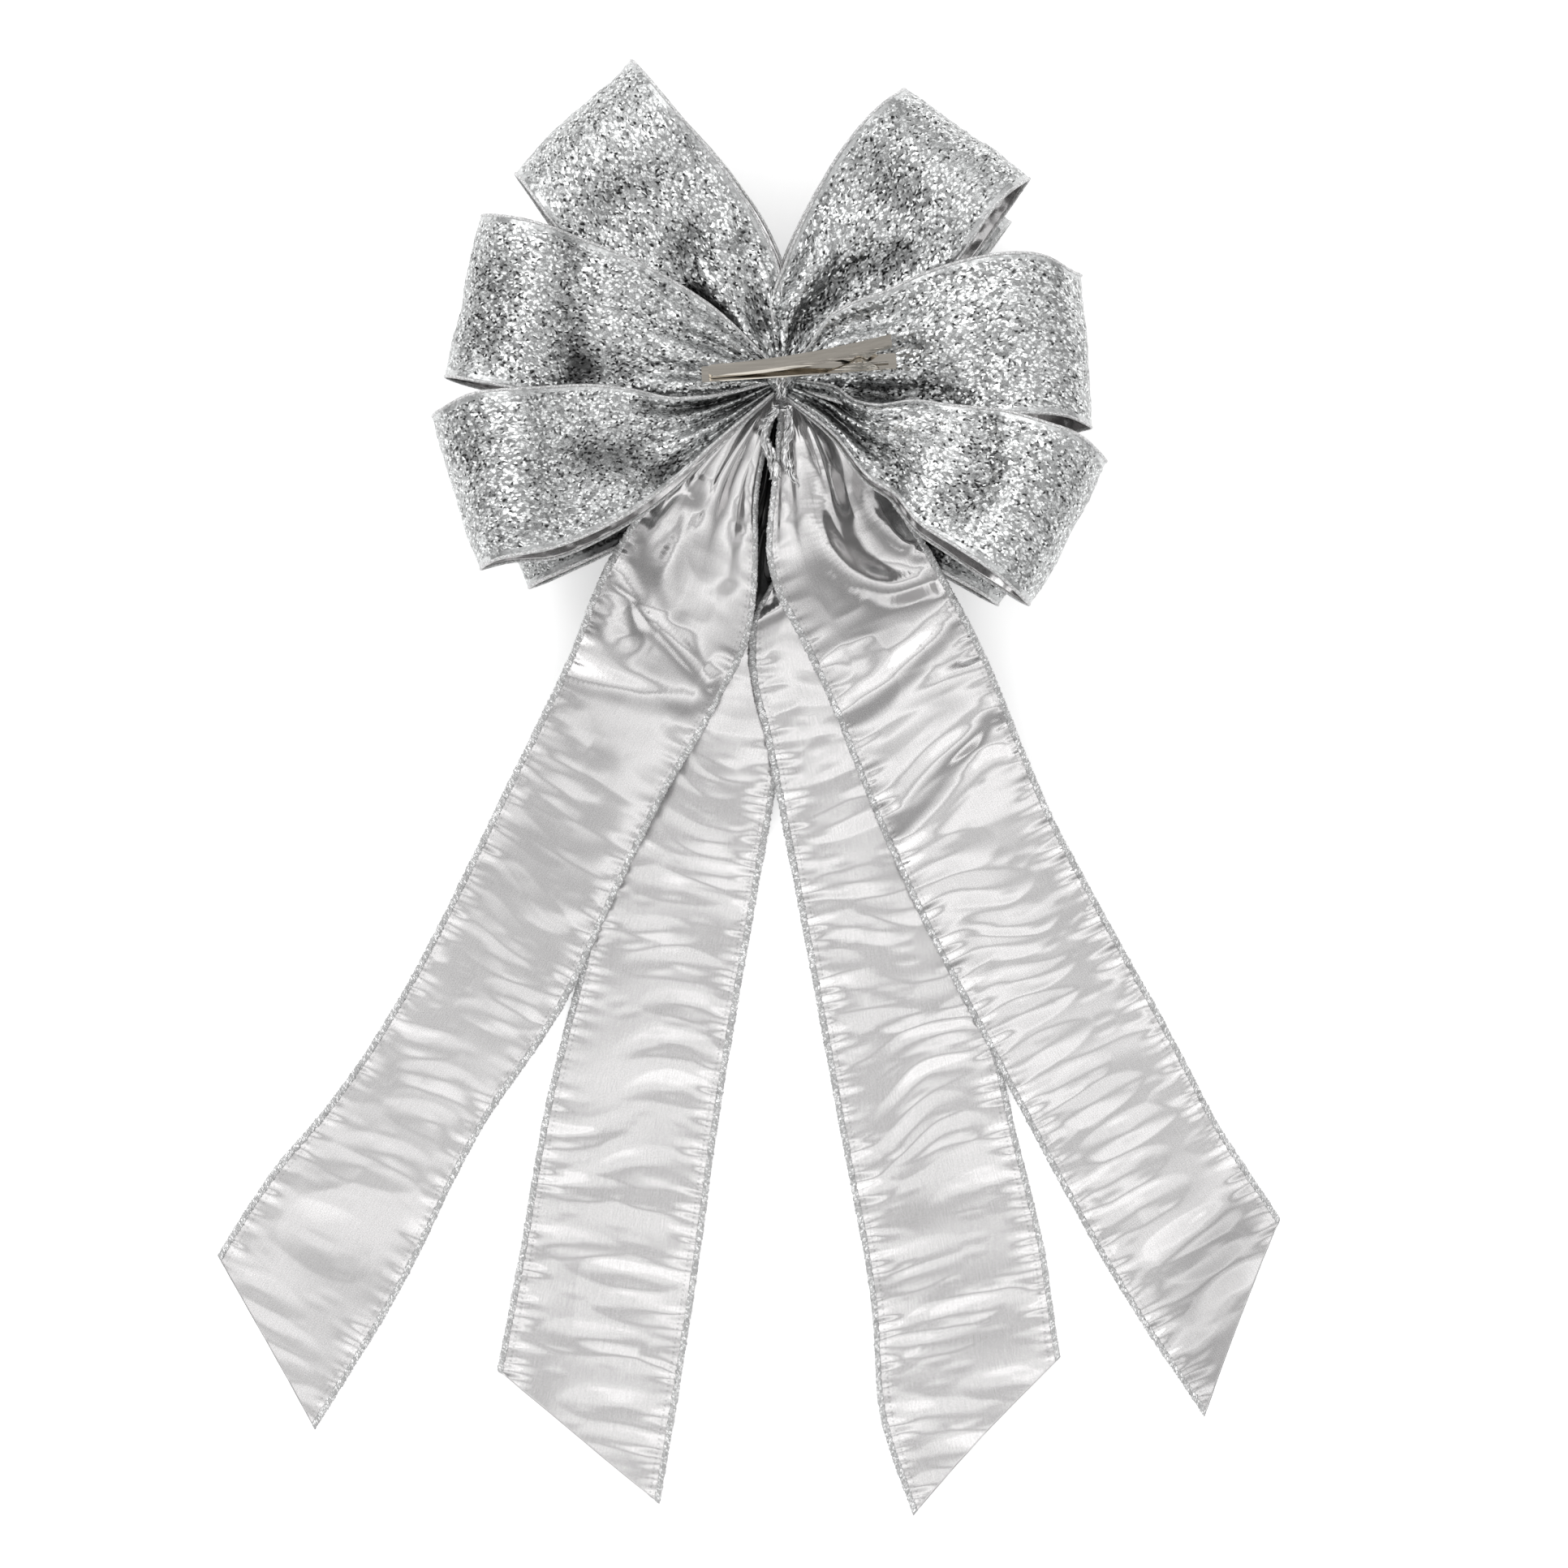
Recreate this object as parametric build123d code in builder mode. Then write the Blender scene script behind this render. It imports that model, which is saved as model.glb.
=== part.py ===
"""Pre-made gift bow: two tiers of wire-edged ribbon loops, a centre loop, four long tails,
a tied waist and a spring clip on the back. It lies on its face, tails towards -Y, clip up (+Z).
Millimetres. The origin is the middle of its footprint, on the surface it lies on."""

import os
from math import cos, pi, radians, sin, tan

from build123d import *

# ---- driving dimensions ------------------------------------------------------------------
RIBBON_WIDTH = 64.0
RIBBON_THICK = 0.8  # cloth with its wrinkles pressed flat
HEM_INSET = 0.7  # edge of the cloth to the hem wire
WIRE_DIA = 0.4

KNOT_X, KNOT_Y = 11.4, 159.2  # the waist, measured from the middle of the footprint
CORE_RADIUS = 7.0
CORE_LOW, CORE_TOP = 44.0, 82.0
CORE_ROUNDING = 3.0
TIE_DIA = 2.0
TIE_END_DIA = 3.2  # the strands spread where they are free
TIE_GAP = 0.2  # tie to core
ROOT_GAP = 3.0  # half the distance between a loop's two ends at the waist

CLIP_LENGTH, CLIP_WIDTH, CLIP_SHEET = 73.0, 7.2, 0.7
CLIP_TURN, CLIP_ROLL = 4.0, 35.0  # about +Z, then about the clip's own length
CLIP_HEIGHT = 87.2  # underside of the lower jaw over the waist
PIVOT_ALONG, PIVOT_UP = 59.0, 4.6  # from the lower jaw's tip and from its underside
PIN_RADIUS, PIN_HEAD = 0.8, 1.5
ARM_WIDTH, ARM_SHEET, ARM_FLANGE = 5.2, 0.6, 1.8
SPRING_RADIUS, SPRING_WIRE = 3.25, 0.7
SPRING_TURNS, SPRING_PITCH = 2, 0.6

# Loops: azimuth of the loop, reach from the waist, height of the middle at the waist and at
# the far end, and half the height of the opening at the far end.
REAR_LOOPS = {
    "loop_upper_left": (128.3, 127.5, 69.0, 64.0, 24.0),
    "loop_left": (164.8, 126.0, 72.0, 72.0, 24.0),
    "loop_lower_left": (199.7, 130.5, 75.0, 80.0, 24.0),
    "loop_upper_right": (53.4, 118.0, 69.0, 64.0, 24.0),
    "loop_right": (5.0, 116.0, 72.0, 72.0, 24.0),
    "loop_lower_right": (-28.6, 124.0, 75.0, 80.0, 24.0),
}
FRONT_LOOPS = {
    "front_loop_lower_left": (204.0, 121.0, 51.8, 22.9, 22.5),
    "front_loop_lower_right": (-30.0, 114.0, 51.8, 22.9, 22.5),
    "front_loop_upper_left": (127.0, 112.0, 48.8, 18.9, 18.5),
    "front_loop_upper_right": (52.5, 106.0, 48.8, 18.9, 18.5),
}

# Tails: azimuth, side path (distance, height) down to the surface, and the raw cut end as two
# corners (distance, offset to the left of the tail's axis).
TAIL_REST = RIBBON_THICK / 2
TAILS = {
    "tail_outer_left": (242.3, [(2, 62.0), (72, 58.5), (190, 13), (300, TAIL_REST)], [(402, -35), (443, 27)]),
    "tail_outer_right": (-63.5, [(2, 62.0), (72, 58.5), (190, 13), (300, TAIL_REST)], [(431, -30), (377, 30)]),
    "tail_inner_right": (-78.9, [(2, 59.6), (60, 53), (165, 7), (240, TAIL_REST)], [(440, -33), (392, 33)]),
    "tail_inner_left": (259.0, [(2, 57.2), (60, 47), (150, TAIL_REST)], [(397, -34), (435, 34)]),
}
SMOOTHING = 60.0  # radius of the bends in a tail's side path

# Free ends of the tie, from the waist: (x, y, height) of the corners of each path.
TIE_END_LEFT = [(-1.8, -11.7, 79.5), (-4.4, -14.5, 74.8), (-6.8, -17.5, 69.6), (-7.2, -22.5, 65.9),
                (-5.0, -27.5, 64.2), (-2.7, -32.5, 63.5), (-2.5, -38.0, 63.0)]
TIE_END_RIGHT = [(1.8, -11.7, 79.5), (2.7, -15.0, 74.6), (2.5, -19.5, 69.6), (1.5, -25.0, 65.8),
                 (1.4, -31.0, 63.9), (3.3, -36.6, 63.1), (7.6, -39.8, 62.8)]


# ---- helpers -----------------------------------------------------------------------------
def side_plane(azimuth):
    """Upright plane through the waist: x runs outwards along the azimuth, y is height."""
    a = radians(azimuth)
    return Plane(origin=(KNOT_X, KNOT_Y, 0), x_dir=(cos(a), sin(a), 0), z_dir=(sin(a), -cos(a), 0))


def plan_plane(azimuth):
    """Level plane just under the model, through the waist: x runs outwards."""
    a = radians(azimuth)
    return Plane(origin=(KNOT_X, KNOT_Y, -1), x_dir=(cos(a), sin(a), 0), z_dir=(0, 0, 1))


def band(outline, thickness):
    """A band of this thickness along a closed outline."""
    make_face(outline.edges())
    offset(amount=thickness / 2)
    offset(amount=-thickness, mode=Mode.SUBTRACT)


def hem_strip():
    """Keep only a strip of the plan outline, where the hem's wire runs."""
    offset(amount=-HEM_INSET)
    offset(amount=-WIRE_DIA, mode=Mode.SUBTRACT)


def loop_side(reach, root, crown, half):
    """Side outline of a loop: two nearly parallel strands that open into a round end."""
    knee, knee_half = 45.0, min(8.0, half - 8)
    knee_mid = root + (crown - root) * knee / reach
    turn = 0.78 * half
    with BuildLine(Plane.XY) as outline:
        FilletPolyline(
            (2, root + ROOT_GAP), (knee, knee_mid + knee_half), (reach, crown + half),
            (reach, crown - half), (knee, knee_mid - knee_half), (2, root - ROOT_GAP),
            radius=[60, turn, turn, 60],
        )
        Line((2, root - ROOT_GAP), (2, root + ROOT_GAP))
    return outline


def loop_plan(reach):
    """Plan outline of a loop: gathered at the waist, full width towards its far end."""
    full = RIBBON_WIDTH / 2
    half = [(1, 2.8), (68, 25), (reach - 16, full), (reach + 3, full)]
    with BuildLine(Plane.XY) as outline:
        Polyline(*half, *[(x, -y) for x, y in reversed(half)], close=True)
    make_face(outline.edges())


def tail_side(path, length):
    """Side outline of a tail: down from the waist and out flat on the surface."""
    corners = path + [(length, TAIL_REST)]
    with BuildLine(Plane.XY) as outline:
        FilletPolyline(*corners, radius=[SMOOTHING] * (len(corners) - 2))
        Polyline(corners[-1], (length, -40), (2, -40), corners[0])
    return outline


def tail_plan(cut, beyond=0.0):
    """Plan outline of a tail: gathered at the waist, cut off raw at a slant."""
    full = RIBBON_WIDTH / 2
    end = [(u + beyond, v) for u, v in cut]
    with BuildLine(Plane.XY) as outline:
        Polyline((1, -2.2), (40, -13), (88, -full), *end, (88, full), (40, 13), (1, 2.2), close=True)
    make_face(outline.edges())


def cord_path(points, diameter):
    """Straight runs joined by arcs as large as their runs allow. Returns path and radii."""
    corners = [Vector(KNOT_X + x, KNOT_Y + y, z) for x, y, z in points]
    radii = []
    for before, here, after in zip(corners, corners[1:], corners[2:]):
        turn = (here - before).get_angle(after - here)
        shorter = min((here - before).length, (after - here).length)
        radii.append(0.45 * shorter / tan(radians(turn / 2)))
    with BuildLine() as path:
        FilletPolyline(*corners, radius=radii)
    section = Plane(origin=corners[0], z_dir=corners[1] - corners[0])
    with BuildPart() as tube:
        with BuildSketch(section):
            Circle(diameter / 2)
        sweep(path=path.wires()[0])
    expected = path.wires()[0].length * pi * diameter**2 / 4
    print("cord", round(path.wires()[0].length, 2), "mm, radii", [round(r, 1) for r in radii],
          "volume ratio", round(tube.part.volume / expected, 4))
    return tube


def finish(builder, name):
    builder.part.label = name
    export_step(builder.part, f"parts/{name}.step")


os.makedirs("parts", exist_ok=True)
waist = Plane(origin=(KNOT_X, KNOT_Y, 0))

# ---- waist: gathered core, tie and its clearance -------------------------------------------
with BuildPart() as gathered_core:
    with BuildSketch(waist.offset(CORE_LOW)):
        Circle(CORE_RADIUS)
    extrude(amount=CORE_TOP - CORE_LOW)
    fillet(gathered_core.edges().filter_by(GeomType.CIRCLE), radius=CORE_ROUNDING)
finish(gathered_core, "gathered_core")

TIE_TURNS = 2
LOOP_TOP = CORE_LOW - RIBBON_THICK  # underside of the centre loop where the tie crosses it
tie_plane = Plane(origin=(KNOT_X, KNOT_Y, 0), x_dir=(0, 1, 0), z_dir=(1, 0, 0))
tie_half = CORE_RADIUS + TIE_GAP + TIE_DIA / 2
tie_low, tie_top = LOOP_TOP - TIE_GAP - TIE_DIA / 2, CORE_TOP + TIE_GAP + TIE_DIA / 2
with BuildPart() as tie_wrap:
    for turn in range(TIE_TURNS):
        shift = (turn - (TIE_TURNS - 1) / 2) * (TIE_DIA + 0.05)
        with BuildLine(tie_plane.offset(shift)) as ring:
            FilletPolyline((-tie_half, tie_low), (tie_half, tie_low), (tie_half, tie_top),
                           (-tie_half, tie_top), radius=3.0, close=True)
        start = Plane(origin=ring.line @ 0, z_dir=ring.line % 0)
        with BuildSketch(start):
            Circle(TIE_DIA / 2)
        sweep(path=ring.wires()[0])
finish(tie_wrap, "tie_wrap")

with BuildPart() as knot_keepout:
    with BuildSketch(waist.offset(-2)):
        Circle(CORE_RADIUS)
        Rectangle(2 * (TIE_DIA + 0.4), 2 * (tie_half + TIE_DIA / 2 + 0.3))
    extrude(amount=112)

# ---- loops ---------------------------------------------------------------------------------
for name, (azimuth, reach, root, crown, half) in {**REAR_LOOPS, **FRONT_LOOPS}.items():
    with BuildPart() as loop:
        with BuildSketch(side_plane(azimuth)):
            band(loop_side(reach - RIBBON_THICK / 2, root, crown, half), RIBBON_THICK)
        extrude(amount=RIBBON_WIDTH, both=True)
        with BuildSketch(plan_plane(azimuth)):
            loop_plan(reach)
        extrude(amount=130, mode=Mode.INTERSECT)
        add(knot_keepout.part, mode=Mode.SUBTRACT)
    finish(loop, name)
    with BuildPart() as wires:
        with BuildSketch(side_plane(azimuth)):
            band(loop_side(reach - RIBBON_THICK / 2, root, crown, half), WIRE_DIA)
        extrude(amount=RIBBON_WIDTH, both=True)
        with BuildSketch(plan_plane(azimuth)):
            loop_plan(reach)
            hem_strip()
        extrude(amount=130, mode=Mode.INTERSECT)
        add(knot_keepout.part, mode=Mode.SUBTRACT)
    finish(wires, name + "_wires")

# ---- centre loop, on the bow's face, held by the tie that passes through it -----------------
CENTRE_HALF_LENGTH, CENTRE_ROUNDING = 18.0, 16.5


def centre_side():
    """Round loop with a short flat where the core presses on it."""
    low, top, reach = TAIL_REST, CORE_LOW - RIBBON_THICK / 2, CENTRE_HALF_LENGTH
    with BuildLine(Plane.XY) as outline:
        FilletPolyline((-reach, low), (reach, low), (reach, top), (-reach, top),
                       radius=CENTRE_ROUNDING, close=True)
    return outline


def centre_plan():
    full, top = RIBBON_WIDTH / 2, CORE_LOW + 1
    half = [(full, -2), (full, 14), (5.6, CORE_LOW - 6), (4.4, top)]
    with BuildLine(Plane.XY) as outline:
        Polyline(*half, *[(-x, y) for x, y in reversed(half)], close=True)
    make_face(outline.edges())


centre_plane = Plane(origin=(KNOT_X, KNOT_Y, 0), x_dir=(1, 0, 0), z_dir=(0, -1, 0))
for name, thickness in (("centre_loop", RIBBON_THICK), ("centre_loop_wires", WIRE_DIA)):
    with BuildPart() as centre:
        with BuildSketch(centre_plane):
            band(centre_side(), thickness)
        extrude(amount=RIBBON_WIDTH, both=True)
        with BuildSketch(tie_plane):
            centre_plan()
            if thickness == WIRE_DIA:
                hem_strip()
        extrude(amount=60, both=True, mode=Mode.INTERSECT)
    finish(centre, name)

# ---- tails ---------------------------------------------------------------------------------
for name, (azimuth, path, cut) in TAILS.items():
    length = max(u for u, v in cut) + 1
    for thickness, ending in ((RIBBON_THICK, ""), (WIRE_DIA, "_wires")):
        with BuildPart() as tail:
            with BuildSketch(side_plane(azimuth)):
                band(tail_side(path, length), thickness)
            extrude(amount=RIBBON_WIDTH, both=True)
            with BuildSketch(plan_plane(azimuth)):
                tail_plan(cut)
            extrude(amount=130, mode=Mode.INTERSECT)
            if thickness == WIRE_DIA:
                with BuildSketch(plan_plane(azimuth)):
                    tail_plan(cut, beyond=20)
                    hem_strip()
                extrude(amount=130, mode=Mode.INTERSECT)
            add(knot_keepout.part, mode=Mode.SUBTRACT)
        finish(tail, name + ending)

# ---- free ends of the tie ------------------------------------------------------------------
finish(cord_path(TIE_END_LEFT, TIE_END_DIA), "tie_end_left")
finish(cord_path(TIE_END_RIGHT, TIE_END_DIA), "tie_end_right")

# ---- spring clip ---------------------------------------------------------------------------
turn, roll = radians(CLIP_TURN), radians(CLIP_ROLL)
clip_x = Vector(cos(turn), sin(turn), 0)
clip_z = Vector(-sin(turn) * sin(roll), cos(turn) * sin(roll), cos(roll))
clip_y = clip_z.cross(clip_x)
CLIP_CENTRE = Vector(KNOT_X + 6.5, KNOT_Y + 2.1, CLIP_HEIGHT)
clip_origin = CLIP_CENTRE - clip_x * (CLIP_LENGTH / 2)
jaw_plan = Plane(origin=clip_origin, x_dir=clip_x, z_dir=clip_z)  # underside of the lower jaw
jaw_side = Plane(origin=clip_origin, x_dir=clip_x, z_dir=-clip_y)  # x along, y away from the jaw
pivot = clip_origin + clip_x * PIVOT_ALONG + clip_z * PIVOT_UP
print("pivot (m)", [round(v / 1000, 6) for v in pivot], "axis", [round(v, 6) for v in clip_y])
EAR_RADIUS = 2.3
ear_gap = ARM_WIDTH / 2 + 0.2


with BuildPart() as clip_lower_jaw:
    with BuildSketch(jaw_plan):
        with Locations((CLIP_LENGTH / 2, 0)):
            RectangleRounded(CLIP_LENGTH, CLIP_WIDTH, 0.6)
    extrude(amount=CLIP_SHEET)
    for side in (1, -1):
        with BuildSketch(jaw_side.offset(side * (ear_gap + CLIP_SHEET / 2))):
            with BuildLine():
                Polyline((46, 0.2), (67, 0.2), (PIVOT_ALONG + EAR_RADIUS, PIVOT_UP + 0.8),
                         (PIVOT_ALONG - EAR_RADIUS, PIVOT_UP + 0.8), close=True)
            make_face()
            with Locations((PIVOT_ALONG, PIVOT_UP)):
                Circle(EAR_RADIUS)
        extrude(amount=CLIP_SHEET / 2, both=True)
    with BuildSketch(jaw_side):
        with Locations((PIVOT_ALONG, PIVOT_UP)):
            Circle(PIN_RADIUS)
    extrude(amount=CLIP_WIDTH, both=True, mode=Mode.SUBTRACT)
finish(clip_lower_jaw, "clip_lower_jaw")


def arm_outline(drop_low, drop_high):
    """Side outline of the arm: between two copies of its top line, this far below it."""
    tip, middle, thumb = (2.6, 2.7), (38.0, 5.6), (71.5, 13.2)
    with BuildLine(Plane.XY) as outline:
        ThreePointArc(*[(x, y - drop_high) for x, y in (tip, middle, thumb)])
        Line((thumb[0], thumb[1] - drop_high), (thumb[0], thumb[1] - drop_low))
        ThreePointArc(*[(x, y - drop_low) for x, y in (thumb, middle, tip)])
        Line((tip[0], tip[1] - drop_low), (tip[0], tip[1] - drop_high))
    make_face(outline.edges())


with BuildPart() as clip_upper_jaw:
    with BuildSketch(jaw_side):
        arm_outline(ARM_FLANGE, 0)
    extrude(amount=ARM_WIDTH / 2, both=True)
    with BuildSketch(jaw_side):
        with BuildLine():
            Polyline((51, PIVOT_UP + 2.6), (PIVOT_ALONG - 2, PIVOT_UP), (PIVOT_ALONG + 2, PIVOT_UP),
                     (66, PIVOT_UP + 5.2), close=True)
        make_face()
        with Locations((PIVOT_ALONG, PIVOT_UP)):
            Circle(EAR_RADIUS - 0.1)
    extrude(amount=ARM_WIDTH / 2, both=True)
    with BuildSketch(jaw_side):
        with BuildLine():
            ThreePointArc((4.0, 2.2), (38.0, 5.6 - ARM_SHEET), (73, 13.0))
            Polyline((73, 13.0), (73, 0), (4.0, 0), (4.0, 2.2))
        make_face()
    extrude(amount=ARM_WIDTH / 2 - ARM_SHEET, both=True, mode=Mode.SUBTRACT)
    with BuildSketch(jaw_side):
        with Locations((PIVOT_ALONG, PIVOT_UP)):
            Circle(PIN_RADIUS + 0.06)
    extrude(amount=CLIP_WIDTH, both=True, mode=Mode.SUBTRACT)
    fillet(clip_upper_jaw.faces().sort_by(Axis(clip_origin, clip_x))[0].edges().filter_by(
        Axis(clip_origin, clip_z), tolerance=20), radius=1.6)
finish(clip_upper_jaw, "clip_upper_jaw")

with BuildPart() as clip_pivot_pin:
    with BuildSketch(jaw_side):
        with Locations((PIVOT_ALONG, PIVOT_UP)):
            Circle(PIN_RADIUS)
    extrude(amount=ear_gap + CLIP_SHEET, both=True)
    for side in (1, -1):
        outer = jaw_side.offset(side * (ear_gap + CLIP_SHEET))
        with BuildSketch(outer):
            with Locations((PIVOT_ALONG, PIVOT_UP)):
                Circle(PIN_HEAD)
        extrude(amount=side * 0.5)
finish(clip_pivot_pin, "clip_pivot_pin")


def half_spring(side, slope, leg_length):
    """Two close turns round the pivot and one straight leg along the clip."""
    lean = radians(slope)
    along = clip_x * cos(lean) + clip_z * sin(lean)
    outwards = (clip_z * cos(lean) - clip_x * sin(lean)) * (1 if slope > 0 else -1)
    coil_plane = Plane(origin=pivot, x_dir=outwards, z_dir=outwards.cross(clip_y))
    across = [side * (0.45 + SPRING_PITCH * number) for number in range(SPRING_TURNS)]
    with BuildPart() as spring:
        with BuildSketch(coil_plane):
            with Locations(*[(SPRING_RADIUS, y) for y in across]):
                Circle(SPRING_WIRE / 2)
        revolve(axis=Axis(pivot, clip_y), revolution_arc=360)
        foot = pivot + clip_y * across[-1] + outwards * SPRING_RADIUS
        with BuildSketch(Plane(origin=foot, z_dir=along)):
            Circle(SPRING_WIRE / 2)
        extrude(amount=leg_length)
    return spring


finish(half_spring(-1, 0, 11.0), "clip_spring_fixed_half")
finish(half_spring(1, 17.0, 11.0), "clip_spring_moving_half")

# ---- glue between the tie and the clip -----------------------------------------------------
with BuildPart() as glue_pad:
    low = tie_top + TIE_DIA / 2
    with BuildSketch(waist.offset(low)):
        RectangleRounded(15, 12, 4)
    extrude(amount=14)
    with BuildSketch(jaw_plan):
        Rectangle(300, 300)
    extrude(amount=60, mode=Mode.SUBTRACT)
finish(glue_pad, "glue_pad")
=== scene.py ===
"""Looks of the pre-made gift bow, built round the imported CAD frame. Metres, +Z up."""

import math

import bpy
import numpy as np
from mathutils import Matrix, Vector


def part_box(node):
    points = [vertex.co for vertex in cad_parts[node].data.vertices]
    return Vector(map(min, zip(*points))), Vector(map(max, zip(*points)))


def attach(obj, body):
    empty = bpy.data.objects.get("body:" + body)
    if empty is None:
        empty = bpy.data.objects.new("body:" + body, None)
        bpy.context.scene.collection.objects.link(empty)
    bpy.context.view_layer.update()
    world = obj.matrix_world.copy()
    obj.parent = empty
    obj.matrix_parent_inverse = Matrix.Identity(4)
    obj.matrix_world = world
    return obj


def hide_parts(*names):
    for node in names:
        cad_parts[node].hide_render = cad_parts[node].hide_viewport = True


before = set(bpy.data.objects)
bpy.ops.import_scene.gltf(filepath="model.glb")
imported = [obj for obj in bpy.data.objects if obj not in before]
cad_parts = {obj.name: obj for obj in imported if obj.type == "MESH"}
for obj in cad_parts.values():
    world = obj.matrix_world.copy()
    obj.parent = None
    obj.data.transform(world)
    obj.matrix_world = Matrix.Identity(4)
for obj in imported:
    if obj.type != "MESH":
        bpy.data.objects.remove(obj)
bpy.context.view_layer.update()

MM = 0.001
BOW = "bow"
RIBBON_WIDTH = 63.5  # mm, as are all lengths of ribbon and tie; materials are in metres
core_low, core_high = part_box("gathered_core")
KNOT = (core_low + core_high) / 2
KNOT_MM = np.array([KNOT.x, KNOT.y]) / MM
FLOOR = 0.0

# ---- camera: straight down on the bow's back ----------------------------------------------
CAMERA_HEIGHT = 2.0
VIEW_WIDTH = 0.6134  # of the surface, at the camera's distance
VIEW_MIDDLE = Vector((0.0009, -0.1534, 0.0))  # from the knot
camera_data = bpy.data.cameras.new("camera")
camera_data.sensor_width = 36.0
camera_data.lens = camera_data.sensor_width * CAMERA_HEIGHT / VIEW_WIDTH
camera_data.clip_end = 20.0
camera = bpy.data.objects.new("camera", camera_data)
camera.location = (KNOT.x + VIEW_MIDDLE.x, KNOT.y + VIEW_MIDDLE.y, CAMERA_HEIGHT)
bpy.context.scene.collection.objects.link(camera)
bpy.context.scene.camera = camera


# ---- cords: the tie's two free ends, metres from the knot and above the floor ----------------
TIE_DIAMETER = 3.2  # mm
TIE_ROUTES = {
    "tie_end_left": [
        (-0.0018, -0.0117, 0.0795), (-0.0044, -0.0145, 0.0748), (-0.0068, -0.0175, 0.0696),
        (-0.0072, -0.0225, 0.0659), (-0.0050, -0.0275, 0.0642), (-0.0027, -0.0325, 0.0635),
        (-0.0025, -0.0380, 0.0630)],
    "tie_end_right": [
        (0.0018, -0.0117, 0.0795), (0.0027, -0.0150, 0.0746), (0.0025, -0.0195, 0.0696),
        (0.0015, -0.0250, 0.0658), (0.0014, -0.0310, 0.0639), (0.0033, -0.0366, 0.0631),
        (0.0076, -0.0398, 0.0628)],
}


def route_points(name, corners):
    """Points in mm along the smooth line that a route's corners control."""
    curve = bpy.data.curves.new(name + "_route", "CURVE")
    curve.dimensions = "3D"
    spline = curve.splines.new("NURBS")
    spline.points.add(len(corners) - 1)
    for point, (x, y, z) in zip(spline.points, corners):
        point.co = (KNOT.x + x, KNOT.y + y, z, 1)
    spline.order_u = 3
    spline.use_endpoint_u = True
    spline.resolution_u = 24
    holder = bpy.data.objects.new(name + "_route", curve)
    bpy.context.scene.collection.objects.link(holder)
    mesh = bpy.data.meshes.new_from_object(holder)
    points = np.array([v.co for v in mesh.vertices]) / MM
    bpy.data.objects.remove(holder)
    bpy.data.meshes.remove(mesh)
    bpy.data.curves.remove(curve)
    return points


TIE_LINES = {name: route_points(name, corners) for name, corners in TIE_ROUTES.items()}


# ---- small helpers ------------------------------------------------------------------------
def smooth_curve(xs, ys):
    """Smooth function through given points: cubic pieces that share their slopes,
    level beyond the ends."""
    xs, ys = np.asarray(xs, float), np.asarray(ys, float)
    step = np.diff(xs)
    slope = np.diff(ys) / step
    tangent = np.empty_like(ys)
    tangent[1:-1] = (slope[:-1] * step[1:] + slope[1:] * step[:-1]) / (step[1:] + step[:-1])
    tangent[0], tangent[-1] = slope[0], slope[-1]

    def value(x):
        x = np.clip(np.asarray(x, float), xs[0], xs[-1])
        i = np.clip(np.searchsorted(xs, x, side="right") - 1, 0, len(xs) - 2)
        h = step[i]
        t = (x - xs[i]) / h
        return (
            (1 + 2 * t) * (1 - t) ** 2 * ys[i]
            + t * (1 - t) ** 2 * h * tangent[i]
            + t**2 * (3 - 2 * t) * ys[i + 1]
            - t**2 * (1 - t) * h * tangent[i + 1]
        )

    return value


def smooth_path(points, step):
    """Even steps along a smooth line through points of any dimension."""
    points = np.asarray(points, float)
    chord = np.r_[0, np.cumsum(np.linalg.norm(np.diff(points, axis=0), axis=1))]
    axes = [smooth_curve(chord, points[:, k]) for k in range(points.shape[1])]
    fine = np.linspace(0, chord[-1], 3000)
    line = np.stack([axis(fine) for axis in axes], 1)
    along = np.r_[0, np.cumsum(np.linalg.norm(np.diff(line, axis=0), axis=1))]
    count = max(int(round(along[-1] / step)), 8) + 1
    even = np.linspace(0, along[-1], count)
    return even, np.stack([np.interp(even, along, line[:, k]) for k in range(line.shape[1])], 1)


def noise(x, y, seed, octaves=1):
    """Seeded smooth noise of roughly -1..1 with features about one unit wide."""
    total, weight, gain = 0.0, 0.0, 1.0
    for octave in range(octaves):
        rng = np.random.RandomState(seed + 101 * octave)
        lattice = rng.uniform(-1, 1, (97, 97))
        px, py = np.asarray(x) * 2**octave + 11.3, np.asarray(y) * 2**octave + 7.7
        ix, iy = np.floor(px).astype(int), np.floor(py).astype(int)
        fx, fy = px - ix, py - iy
        fx, fy = fx * fx * fx * (fx * (6 * fx - 15) + 10), fy * fy * fy * (fy * (6 * fy - 15) + 10)
        a, b = lattice[ix % 97, iy % 97], lattice[(ix + 1) % 97, iy % 97]
        c, d = lattice[ix % 97, (iy + 1) % 97], lattice[(ix + 1) % 97, (iy + 1) % 97]
        total = total + gain * ((a * (1 - fx) + b * fx) * (1 - fy) + (c * (1 - fx) + d * fx) * fy)
        weight += gain
        gain *= 0.5
    return total / weight


def troughs(x, y, seed):
    """Squared distance to the nearest of one jittered point per unit cell: rounded troughs
    that meet in crisp ridges."""
    rng = np.random.RandomState(seed)
    jitter = rng.uniform(0.1, 0.9, (64, 64, 2))
    ix, iy = np.floor(x).astype(int), np.floor(y).astype(int)
    nearest = np.full(np.broadcast(x, y).shape, 9.0)
    for dx in (-1, 0, 1):
        for dy in (-1, 0, 1):
            point = jitter[(ix + dx) % 64, (iy + dy) % 64]
            away = (ix + dx + point[..., 0] - x) ** 2 + (iy + dy + point[..., 1] - y) ** 2
            nearest = np.minimum(nearest, away)
    return nearest


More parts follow.
